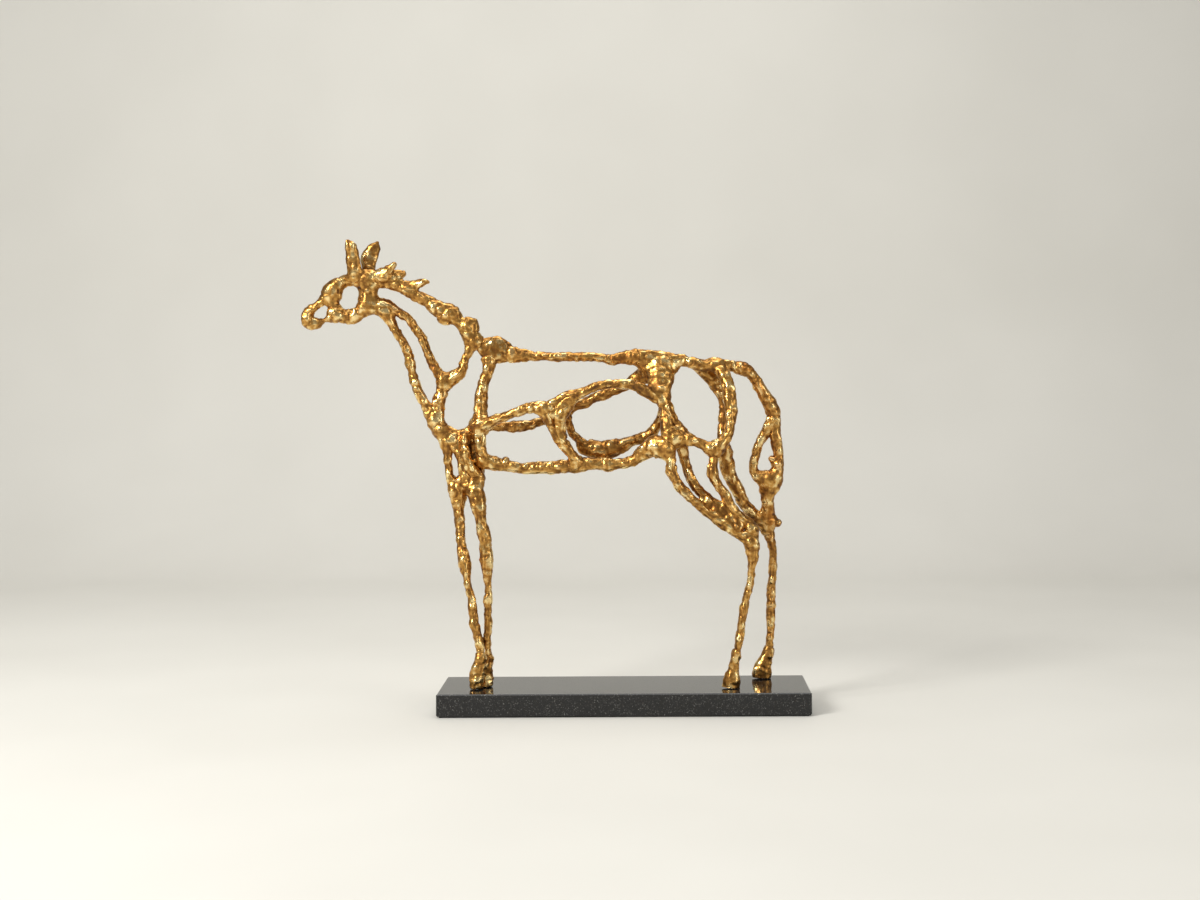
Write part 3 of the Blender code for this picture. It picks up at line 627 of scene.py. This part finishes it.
# Bars given aged values get painted shade: they are browned where they stand in shade, most of them on
# the far side.
bar("near_fore_leg_gilded", [
    (-186, -4, 264, 12), (-189, -3, 252, 16), (-190, -1, 240, 17), (-189, -1, 222, 12),
    (-188, -3, 206, 11), (-187, -5, 190, 10), (-185, -6, 178, 13), (-183.5, -7, 169, 15),
    (-182, -8, 160, 13), (-181, -10, 150, 8), (-179, -11, 140, 8), (-176, -12, 129, 9),
    (-175, -13, 118, 10), (-173.5, -14, 108, 10), (-172.5, -15, 99, 10), (-169.5, -17, 88, 10),
    (-167, -18, 77, 10), (-166, -19, 67, 8), (-165, -21, 56, 8),
])
bar("far_fore_leg_gilded", [
    (-170, -4, 264, 20), (-171, -8, 252, 20), (-168, -11, 240, 19), (-166, -12, 228, 16),
    (-164, -12, 216, 12), (-162, -12, 204, 14), (-159, -12, 192, 13), (-158.5, -12, 180, 14),
    (-158, -12, 170, 15), (-157, -12, 158, 12), (-156.5, -12, 148, 9), (-156, -11, 138, 7),
    (-156.5, -11, 126, 9), (-156, -10, 114, 8), (-156.5, -10, 102, 8), (-157, -9, 90, 8),
    (-157, -9, 78, 8), (-156.5, -8, 66, 7), (-157, -8, 54, 7),
], painted_shade=0.2)
bar("near_fore_hoof_gilded", [
    (-165.5, -21, 59, 9), (-167, -21, 51, 13), (-169, -22, 44, 16), (-170, -22, 36, 16),
    (-170, -22, 26.5, 15),
], sole=True, streaks=0.5)
bar("far_fore_hoof_gilded", [
    (-157, -8, 57, 8), (-158, -8, 47, 11), (-158, -8, 37, 13), (-158.5, -8, 26.5, 13),
], sole=True, streaks=0.5, painted_shade=0.2)


# The hind legs: a gilded cannon and a hoof each, screwed down like the forelegs, and the four thigh
# bars that run down into the hocks. The thigh bars are the most strongly drawn out lengthways.

bar("near_hind_leg_gilded", [
    (148, -24, 202, 14), (148, -24, 190, 15), (147.5, -24, 178, 15), (148, -24, 168, 11),
    (146.5, -24, 160, 8), (146, -24, 150, 8), (144, -24, 140, 8), (141.5, -24, 130, 8),
    (139, -24, 120, 8), (137, -24, 110, 8), (135.5, -24, 100, 8), (134, -24, 90, 8),
    (132.5, -24, 80, 9), (131, -24, 70, 8), (129, -24, 60, 7),
])
bar("far_hind_leg_gilded", [
    (163, 26, 214, 13), (166, 29, 201, 13), (169, 30, 190, 10), (171, 31, 180, 9),
    (171.5, 32, 168, 9), (170.5, 32, 150, 9), (169, 33, 130, 10), (168.5, 33, 110, 10),
    (168, 34, 90, 9), (167, 34, 75, 8), (166.5, 34, 62, 8),
], painted_shade=0.2, rubbed=0.25)
bar("hock_stub_gilded", [
    (172, 28, 214, 7), (178, 28, 211, 8),
], nodes=[], rubbed=0.7)
bar("near_hind_hoof_gilded", [
    (127.5, -24, 63, 7), (126, -24, 50, 10), (125, -24, 42, 13), (123.5, -24, 34, 18),
    (122.5, -24, 26.5, 19),
], sole=True, streaks=0.5)
bar("far_hind_hoof_gilded", [
    (166, 34, 66, 8), (163, 34, 57, 13), (160, 34, 49, 18), (158, 34, 41, 22),
    (157.5, 34, 26.5, 21),
], sole=True, streaks=0.5, painted_shade=0.2)
bar("thigh_front_bar_gilded", [
    (50, -19, 318, 11), (53, -21, 302, 10), (54, -22, 287, 10), (55, -22, 273, 12),
    (62, -22, 258, 10.5), (70, -22, 247, 10.5), (82, -23, 236, 10), (95, -23, 225, 11),
    (108, -23, 215, 12), (120, -24, 206, 11), (132, -24, 199, 11), (146, -24, 189, 12),
], streaks=1.4)
bar("thigh_middle_bar_gilded", [
    (106, -22, 300, 10), (104, -22, 290, 9), (103, -23, 278, 11), (103, -23, 267, 12),
    (107, -23, 257, 10), (114, -24, 247, 10), (120, -24, 237, 10), (127, -24, 227, 9),
    (136, -24, 217, 9), (145, -24, 209, 10), (148, -24, 203, 10),
], streaks=1.4)
bar("thigh_inner_bar_gilded", [
    (66, -14, 307, 12), (69, -9, 291, 12), (72, -10, 278, 10.5), (77, -12, 264, 10.5),
    (84, -14, 252, 10.5), (92, -16, 243, 11), (102, -18, 235, 11), (112, -20, 227, 11),
    (122, -22, 217, 10), (132, -24, 205, 9),
], streaks=1.4, painted_shade=0.6)
bar("thigh_rear_bar_gilded", [
    (116, 4, 298, 14), (118, 9, 284, 16), (120.5, 13, 270, 16), (127.5, 16, 256, 14.5),
    (133, 18, 245, 14), (138, 21, 234, 14), (145, 23, 225, 14), (154, 26, 216, 14),
    (165, 28, 206, 13),
], streaks=1.4, painted_shade=0.4)


# The chest: a gilded yoke across the base of the neck, a core behind it, and strands laid over the
# core. Most run down into the tops of the forelegs, and the rear one into the belly rail.

bar("chest_yoke_gilded", [
    (-208, 0, 319, 17), (-196, 0, 312, 17), (-185, -1, 312, 17), (-176, -2, 315, 18),
    (-166, -4, 322, 18),
])
bar("chest_core_gilded", [
    (-168, 4, 326, 17), (-171, 5, 312, 19), (-172, 6, 298, 19), (-171, 5, 284, 19),
    (-169, 3, 270, 18), (-169, 0, 258, 16),
], painted_shade=0.4)
bar("chest_front_strand_gilded", [
    (-202, -2, 308, 11), (-193, -4, 300, 11), (-188, -6, 290, 10), (-185, -6, 280, 9),
    (-181, -6, 270, 9), (-180, -6, 258, 9),
], streaks=1.2)
bar("chest_middle_strand_gilded", [
    (-182, -9, 314, 8), (-182, -10, 300, 8), (-180, -11, 288, 8), (-176, -11, 278, 8),
    (-170, -9, 270, 8),
], streaks=1.2)
bar("chest_rear_strand_gilded", [
    (-164, -8, 322, 10), (-165, -10, 310, 12), (-164, -11, 298, 11), (-160, -10, 288, 10),
    (-150, -6, 281, 10),
], streaks=1.2)
bar("breast_strip_gilded", [
    (-208, -1, 316, 8), (-205, -2, 305, 9), (-203, -2, 292, 8), (-202, -2, 280, 8),
    (-200, -2, 268, 8), (-197, -2, 257, 9), (-193, -2, 247, 10),
])


# The withers and rump knots: two gilded lumps of metal that many of the other bars are welded to.
# Each is a short bar, very thick in the middle.

bar("withers_knot_gilded", [
    (-175, 0, 422, 9), (-168, 0, 419, 12), (-160, 0, 416, 20), (-150, 0, 412, 33),
    (-139, 0, 410, 28), (-127, 0, 406.5, 16), (-119, 0, 405, 12),
], nodes=["withers_plate"], flat=0.62, streaks=1.5, painted_shade=0.55)
bar("rump_knot_gilded", [
    (7, 0, 402, 12), (18, 0, 401, 20), (30, 0, 397, 28), (44, 0, 394, 30), (56, 0, 396, 23),
    (66, 0, 398.5, 14), (76, 0, 396.5, 10), (84, 0, 395, 8),
], nodes=["rump_plate"], flat=0.75, streaks=1.3)


# The barrel: the belly rail in two lengths, and ribs and flank bars bowed out on both sides. All
# are gilded bars, welded to one another, to the chest in front and to the haunch behind.

bar("belly_rail_front_gilded", [
    (-166, -3, 288, 12), (-156, -4, 283, 14), (-146, -4, 280, 13), (-130, -4, 278, 12),
    (-116, -4, 275, 12), (-100, -4, 276, 13), (-84, -4, 276, 14), (-66, -4, 277, 15),
    (-48, -4, 279, 16), (-34, -4, 280, 14), (-20, -4, 279, 12),
])
bar("belly_rail_rear_gilded", [
    (-18, -4, 279, 12), (-6, -5, 280, 11), (6, -6, 282, 12), (16, -8, 287, 13),
    (26, -11, 295, 19), (35, -15, 299, 25), (48, -19, 297, 24),
])
bar("belly_knob_gilded", [
    (-136, -4, 280, 8), (-135, -4, 286, 5),
], nodes=[])
bar("near_flank_bow_gilded", [
    (-166, -12, 324, 13), (-155, -13, 328, 12), (-145, -14, 332, 10), (-133, -15, 336, 9),
    (-122, -16, 340, 10), (-110, -17, 344, 12), (-98, -18, 346, 13), (-88, -19, 346, 12),
    (-78, -19, 351, 11), (-66, -20, 357, 11), (-54, -20, 360, 11), (-42, -21, 364, 10),
    (-30, -22, 369, 9), (-18, -22, 371, 9), (-6, -22, 372, 9), (4, -21, 371, 9),
    (14, -19, 369, 11), (25, -17, 364, 13), (36, -14, 358, 14), (46, -12, 351, 12),
], streaks=1.3, bare=(-94, -18, 345))
bar("near_rib_gilded", [
    (-93, -19, 344, 12), (-87, -19, 333, 11), (-82, -17, 322, 10), (-76, -15, 312, 11),
    (-68, -13, 302, 13), (-60, -11, 291, 11), (-54, -6, 281, 11),
], streaks=1.3)
bar("rib_web_gilded", [
    (-87, -18, 341, 9), (-79, -18, 340, 11), (-71, -18, 342, 9),
], nodes=[], flat=0.7)
bar("rib_strip_gilded", [
    (-53, -18, 360, 8), (-62, -18, 350, 12), (-69, -18, 339, 12), (-72, -17, 330, 10),
    (-71, -16, 320, 9), (-69, -15, 312, 8),
], streaks=1.2)
bar("far_flank_bar_gilded", [
    (-166, 5, 321, 10), (-150, 8, 323, 9), (-140, 10, 323, 10), (-128, 12, 323, 12),
    (-116, 13, 324, 12), (-104, 14, 326, 11), (-92, 16, 330, 10), (-80, 17, 334, 10),
    (-67, 18, 337, 10),
], painted_shade=0.6)
bar("far_rib_upper_gilded", [
    (-68, 18, 335, 10), (-62, 18, 342, 10), (-54, 18, 347, 11), (-44, 18, 350, 12),
    (-34, 18, 355, 10), (-24, 18, 359, 11), (-12, 18, 363, 10), (0, 17, 368, 10),
    (10, 15, 374, 14), (20, 11, 379, 18), (32, 5, 384, 20),
], streaks=1.2, painted_shade=0.6)
bar("far_rib_lower_gilded", [
    (-67, 18, 338, 9), (-63, 18, 326, 8), (-59, 18, 316, 9), (-51, 17, 308, 9),
    (-45, 16, 300, 17), (-34, 15, 297, 21), (-22, 14, 296, 22), (-10, 14, 298, 20),
    (0, 14, 301, 16), (9, 14, 306, 12), (20, 14, 309, 12), (30, 13, 313, 12), (38, 11, 322, 11),
    (43, 8, 333, 9), (46, 2, 345, 9), (47, -4, 358, 10),
], streaks=1.3, painted_shade=0.6)


# The haunch: gilded struts from the rump knot down to the stifle, and the two buttock struts. They
# carry the thigh bars, with open windows left between them.

bar("near_rump_strut_gilded", [
    (46, -3, 392, 20), (44, -7, 380, 29), (44, -10, 367, 24), (47.5, -13, 352, 12),
    (48, -16, 340, 11), (49, -18, 330, 13), (52, -20, 320, 13), (58, -21, 311, 12),
], streaks=1.2)
bar("stifle_bar_gilded", [
    (52, -20, 313, 13), (62, -21, 309, 14), (72, -22, 306, 11), (82, -22, 305, 11),
    (91, -22, 301, 11), (100, -22, 297, 13), (108, -22, 298, 13),
])
bar("flank_strut_gilded", [
    (50, -13, 345, 9), (57, -12, 333, 9), (63, -13, 324, 9), (69, -16, 315, 10),
    (76, -20, 307, 10),
])
bar("near_buttock_strut_gilded", [
    (104, 0, 394, 11), (113, -6, 385, 13), (119, -10, 375, 14), (121.5, -13, 363, 15),
    (123, -16, 350, 14), (124.5, -18, 338, 12), (124.5, -20, 326, 9), (122, -21, 315, 9),
    (116, -22, 305, 10), (106, -22, 294, 11),
])
bar("far_buttock_strut_gilded", [
    (82, 2, 396, 8), (91, 6, 386.5, 12), (101, 10, 378, 15), (108, 13, 367, 14),
    (113, 15, 355, 10), (116, 16, 343, 10), (115, 16, 331, 11), (114, 15, 319, 11),
    (114, 13, 307, 12), (116, 12, 294, 13),
], painted_shade=0.4)


# The back: a thin gilded rail in two lengths, from the withers knot to the rump knot, and the croup
# bar behind the rump. The rail's leaf is rubbed a little more than most.

bar("back_rail_front_gilded", [
    (-128, 0, 406, 11), (-100, 0, 404, 10), (-60, 0, 403, 10), (-30, 0, 402, 10),
    (-12, 0, 399, 9),
], rubbed=0.25)
bar("back_rail_rear_gilded", [
    (-10, 0, 400, 9), (-2, 0, 402, 11), (14, 0, 403, 11),
], rubbed=0.25)
bar("croup_bar_gilded", [
    (78, 0, 396, 8), (92, 0, 392.5, 9), (104, 0, 393, 10), (114, 2, 393.5, 11),
    (126, 4, 391, 12), (138, 6, 388, 12),
])


# The tail: two gilded strands that part below the croup and grow together into a switch, which
# comes down on the far hock. A short stub is left on the outer strand.

bar("tail_outer_strand_gilded", [
    (134, 6, 390, 12), (144, 7, 385, 12), (152, 8, 376, 12), (158, 9, 365, 13),
    (164, 10, 356, 15), (169.5, 11, 346, 17), (172.5, 12, 335, 15.5), (174, 12, 322, 13),
    (175, 12, 307, 13.5), (177.5, 13, 294, 11.5), (178, 13, 279, 12), (175, 14, 264, 13),
], rubbed=0.25)
bar("tail_inner_strand_gilded", [
    (170, 12, 330, 8), (162, 13, 315, 9), (155, 13, 300, 9), (151, 13, 286, 9),
    (149, 13, 276, 10), (153, 14, 266, 12), (162, 15, 260, 13),
])
bar("tail_stub_gilded", [
    (177, 12, 280, 9), (173, 12, 282, 7), (168.5, 12, 285, 4),
], nodes=[], rubbed=0.4)
bar("tail_switch_gilded", [
    (168, 14, 262, 25), (168, 15, 259, 27), (166, 16, 248, 20), (165, 18, 238, 14),
    (166, 21, 228, 13), (167, 26, 216, 13),
], pits=0.4, rubbed=0.25)


# The neck: gilded bars again. The shoulder strut, two long bars with a brace beside them, and the
# crest, with tufts of mane pinched out of it.

bar("shoulder_strut_gilded", [
    (-154, 0, 399, 11), (-156.5, -1, 384, 12), (-161, -2, 370, 12), (-163, -3, 360, 14),
    (-164, -4, 348, 15), (-164, -5, 338, 15), (-165, -5, 322, 16),
])
bar("neck_bar_gilded", [
    (-294, 0, 465, 13), (-282, 0, 464, 15), (-270, 0, 461, 15), (-261, 0, 457, 12),
    (-248, 0, 449, 9), (-236, 0, 434, 9), (-229, 0, 421, 9), (-224, 0, 408, 9),
    (-217, 0, 392, 10), (-210, 0, 380, 11), (-208, 0, 366, 12), (-212, 0, 352, 14),
    (-214, 0, 337, 15), (-211, 0, 322, 11),
], streaks=1.2, rubbed=0.25)
bar("throat_bar_gilded", [
    (-285, 0, 460, 12), (-276, 0, 456, 13), (-268, 0, 447, 12), (-262, 0, 436, 10),
    (-251, 0, 417, 10), (-245, 0, 400, 10), (-241, 0, 382, 10), (-236, 0, 366, 10),
    (-229, 0, 352, 10), (-221, 0, 336, 11), (-213, 0, 322, 12), (-202, 0, 312, 12),
])
bar("neck_brace_gilded", [
    (-207, 0, 373, 12), (-201, 0, 376, 17), (-194, 0, 380, 15), (-185, 0, 388, 11),
    (-182, 0, 399, 9), (-178, 0, 409, 9), (-173, 0, 420, 10),
])
bar("crest_bar_gilded", [
    (-293, 0, 494, 17), (-283, 0, 494, 20), (-272, 0, 493, 21), (-262, 0, 489, 18),
    (-254, 0, 484, 14), (-246, 0, 479, 13), (-236, 0, 474, 13), (-226, 0, 469, 14),
    (-215, 0, 461, 18), (-205, 0, 456, 21), (-197, 0, 452, 22), (-188, 0, 443, 13),
    (-180, 0, 438, 20), (-174, 0, 428, 17), (-168, 0, 419, 11),
], streaks=0.6, pits=0.5)
bar("poll_tuft_gilded", [
    (-276, -4, 497, 12), (-268, -5, 505, 9), (-262, -6, 511, 4),
], streaks=0.5)
bar("mane_tuft_gilded", [
    (-264, 3, 492, 11), (-257, 4, 499, 9), (-251, 5, 500, 5),
], streaks=0.5)
bar("crest_knob_gilded", [
    (-178, 0, 436, 11), (-172, 0, 442, 13),
], nodes=[], streaks=0.4)
bar("crest_underknob_gilded", [
    (-203, 0, 450, 10), (-206, 0, 445, 10),
], nodes=[], streaks=0.4)
bar("mane_leaf_gilded", [
    (-251, 0, 483, 9), (-243, -1, 486, 9), (-234, -3, 488, 10), (-227, -4, 490, 6),
    (-223, -4, 490, 3),
], flat=0.8, streaks=0.5)


# The head: gilded bars joined in a ring round an open eye and an open nostril. The two ears are
# flattened like leaves and stand up from the poll.

bar("brow_bar_gilded", [
    (-364, 0, 449, 11), (-362, 0, 455, 11), (-353, 0, 462, 9), (-345, 0, 469, 10),
    (-338, 0, 479, 13), (-328, 0, 487, 12), (-316, 0, 492, 13), (-303, 0, 493, 15),
    (-293, 0, 494, 17),
], streaks=0.5, pits=0.6)
bar("jaw_bar_gilded", [
    (-334, 0, 452, 9), (-326, 0, 451, 15), (-317, 0, 451, 17), (-308, 0, 452, 17),
    (-300, 0, 457, 16), (-294, 0, 464, 15),
], streaks=0.4, pits=0.8)
bar("lip_bar_gilded", [
    (-363, 0, 449, 13), (-358, 0, 443, 14), (-350, 0, 443, 11), (-343, 0, 446, 6),
    (-336, 0, 449, 7), (-329, 0, 452, 8),
], streaks=0.4, pits=0.4)
bar("nose_bar_gilded", [
    (-329, 0, 487, 14), (-331, 0, 477, 18), (-333, 0, 467, 14), (-331, 0, 459, 13),
    (-328, 0, 451, 12),
], streaks=0.4, pits=0.6)
bar("cheek_bar_gilded", [
    (-297, 0, 494, 16), (-293, 0, 482, 18), (-292, 0, 472, 18), (-292, 0, 462, 17),
], streaks=0.4, pits=0.8)
bar("near_ear_gilded", [
    (-308, -6, 497, 13), (-309, -8, 508, 15), (-310, -9, 518, 15), (-311, -10, 527, 13),
    (-314, -11, 534, 10), (-316, -11, 538, 4),
], flat=0.6, streaks=0.8)
bar("far_ear_gilded", [
    (-292, 6, 497, 11), (-292, 8, 508, 14), (-291, 9, 517, 18), (-287, 10, 525, 17),
    (-283, 11, 532, 12), (-281, 11, 536, 4),
], flat=0.6, streaks=0.8, painted_shade=0.4)


# The room: a pale floor that curves up into a backdrop, and soft daylight from the upper left. None
# of it belongs to the object.

COVE_FRONT = -4.0
COVE_BACK = 1.7
COVE_BEND = 0.6
COVE_TOP = 4.0
COVE_SIDE = 5.0


def cove():
    """Floor and backdrop in one sheet: a flat run, a quarter turn and a rise, carried across."""
    bend = np.linspace(0.0, math.pi / 2, 25)
    out = COVE_BACK - COVE_BEND + COVE_BEND * np.sin(bend)
    behind = np.concatenate([[COVE_FRONT], out, [COVE_BACK]])
    rise = np.concatenate([[0.0], COVE_BEND - COVE_BEND * np.cos(bend), [COVE_TOP]])
    sides = np.array([-COVE_SIDE, COVE_SIDE])
    vertices = np.stack([
        np.repeat(sides, len(behind)), np.tile(behind, 2), np.tile(rise, 2),
    ], axis=1)
    step = np.arange(len(behind) - 1)
    faces = np.stack([step, step + len(behind), step + len(behind) + 1, step + 1], axis=1)
    mesh = bpy.data.meshes.new("cove")
    mesh.from_pydata(vertices.tolist(), [], faces.tolist())
    mesh.shade_smooth()
    made = bpy.data.objects.new("cove", mesh)
    bpy.context.scene.collection.objects.link(made)
    material, tree, shader = new_material("pale_paper")
    place = added(tree, "ShaderNodeTexCoord").outputs["Object"]
    tone = pattern(tree, "ShaderNodeTexNoise", place, 3.0)
    shade = graded(tree, tone.outputs["Fac"], [
        (0.3, (0.66, 0.645, 0.60)), (0.7, (0.69, 0.675, 0.63)),
    ])
    tree.links.new(shade.outputs["Color"], shader.inputs["Base Color"])
    shader.inputs["Roughness"].default_value = 0.8
    mesh.materials.append(material)


def soft_light(name, place, aim, size, power, colour):
    """A square soft light that faces its aim. The size is in metres and the power in watts."""
    lamp = bpy.data.lights.new(name, "AREA")
    lamp.size = size
    lamp.energy = power
    lamp.color = colour
    made = bpy.data.objects.new(name, lamp)
    bpy.context.scene.collection.objects.link(made)
    made.location = place
    direction = made.location - Vector(aim)
    made.rotation_euler = direction.to_track_quat("Z", "Y").to_euler()


cove()
soft_light(
    "window", place=(-1.6, -1.5, 1.5), aim=(-0.05, 0.0, 0.3), size=0.8, power=54.0,
    colour=(1.0, 0.99, 0.96),
)
soft_light(
    "fill", place=(1.8, -1.6, 0.9), aim=(0.0, 0.0, 0.3), size=1.2, power=12.0,
    colour=(1.0, 0.98, 0.94),
)
soft_light(
    "ceiling", place=(0.0, 0.1, 2.2), aim=(0.0, 0.0, 0.2), size=1.6, power=23.0,
    colour=(1.0, 0.99, 0.97),
)

ROOM_COLOUR = (0.90, 0.90, 0.88, 1.0)
ROOM_STRENGTH = 0.36
bpy.context.scene.view_settings.view_transform = "Standard"
world = bpy.data.worlds.new("room")
bpy.context.scene.world = world
world.use_nodes = True
room_light = world.node_tree.nodes["Background"]
room_light.inputs["Color"].default_value = ROOM_COLOUR
room_light.inputs["Strength"].default_value = ROOM_STRENGTH


# The camera: level, at the sight point, looking along +Y and turned by a hair about its own axis.
# The lens is in millimetres, the roll in radians, and the shift in widths of the frame.

LENS = 50.0
ROLL = -0.005
SHIFT = (-0.040, -0.069)
lens = bpy.data.cameras.new("side_view")
lens.lens = LENS
lens.shift_x = SHIFT[0]
lens.shift_y = SHIFT[1]
camera = bpy.data.objects.new("side_view", lens)
bpy.context.scene.collection.objects.link(camera)
camera.location = [value / 1000.0 for value in SIGHT_POINT]
level = Matrix.Rotation(math.pi / 2, 3, "X")
camera.rotation_euler = (level @ Matrix.Rotation(ROLL, 3, "Z")).to_euler()
bpy.context.scene.camera = camera
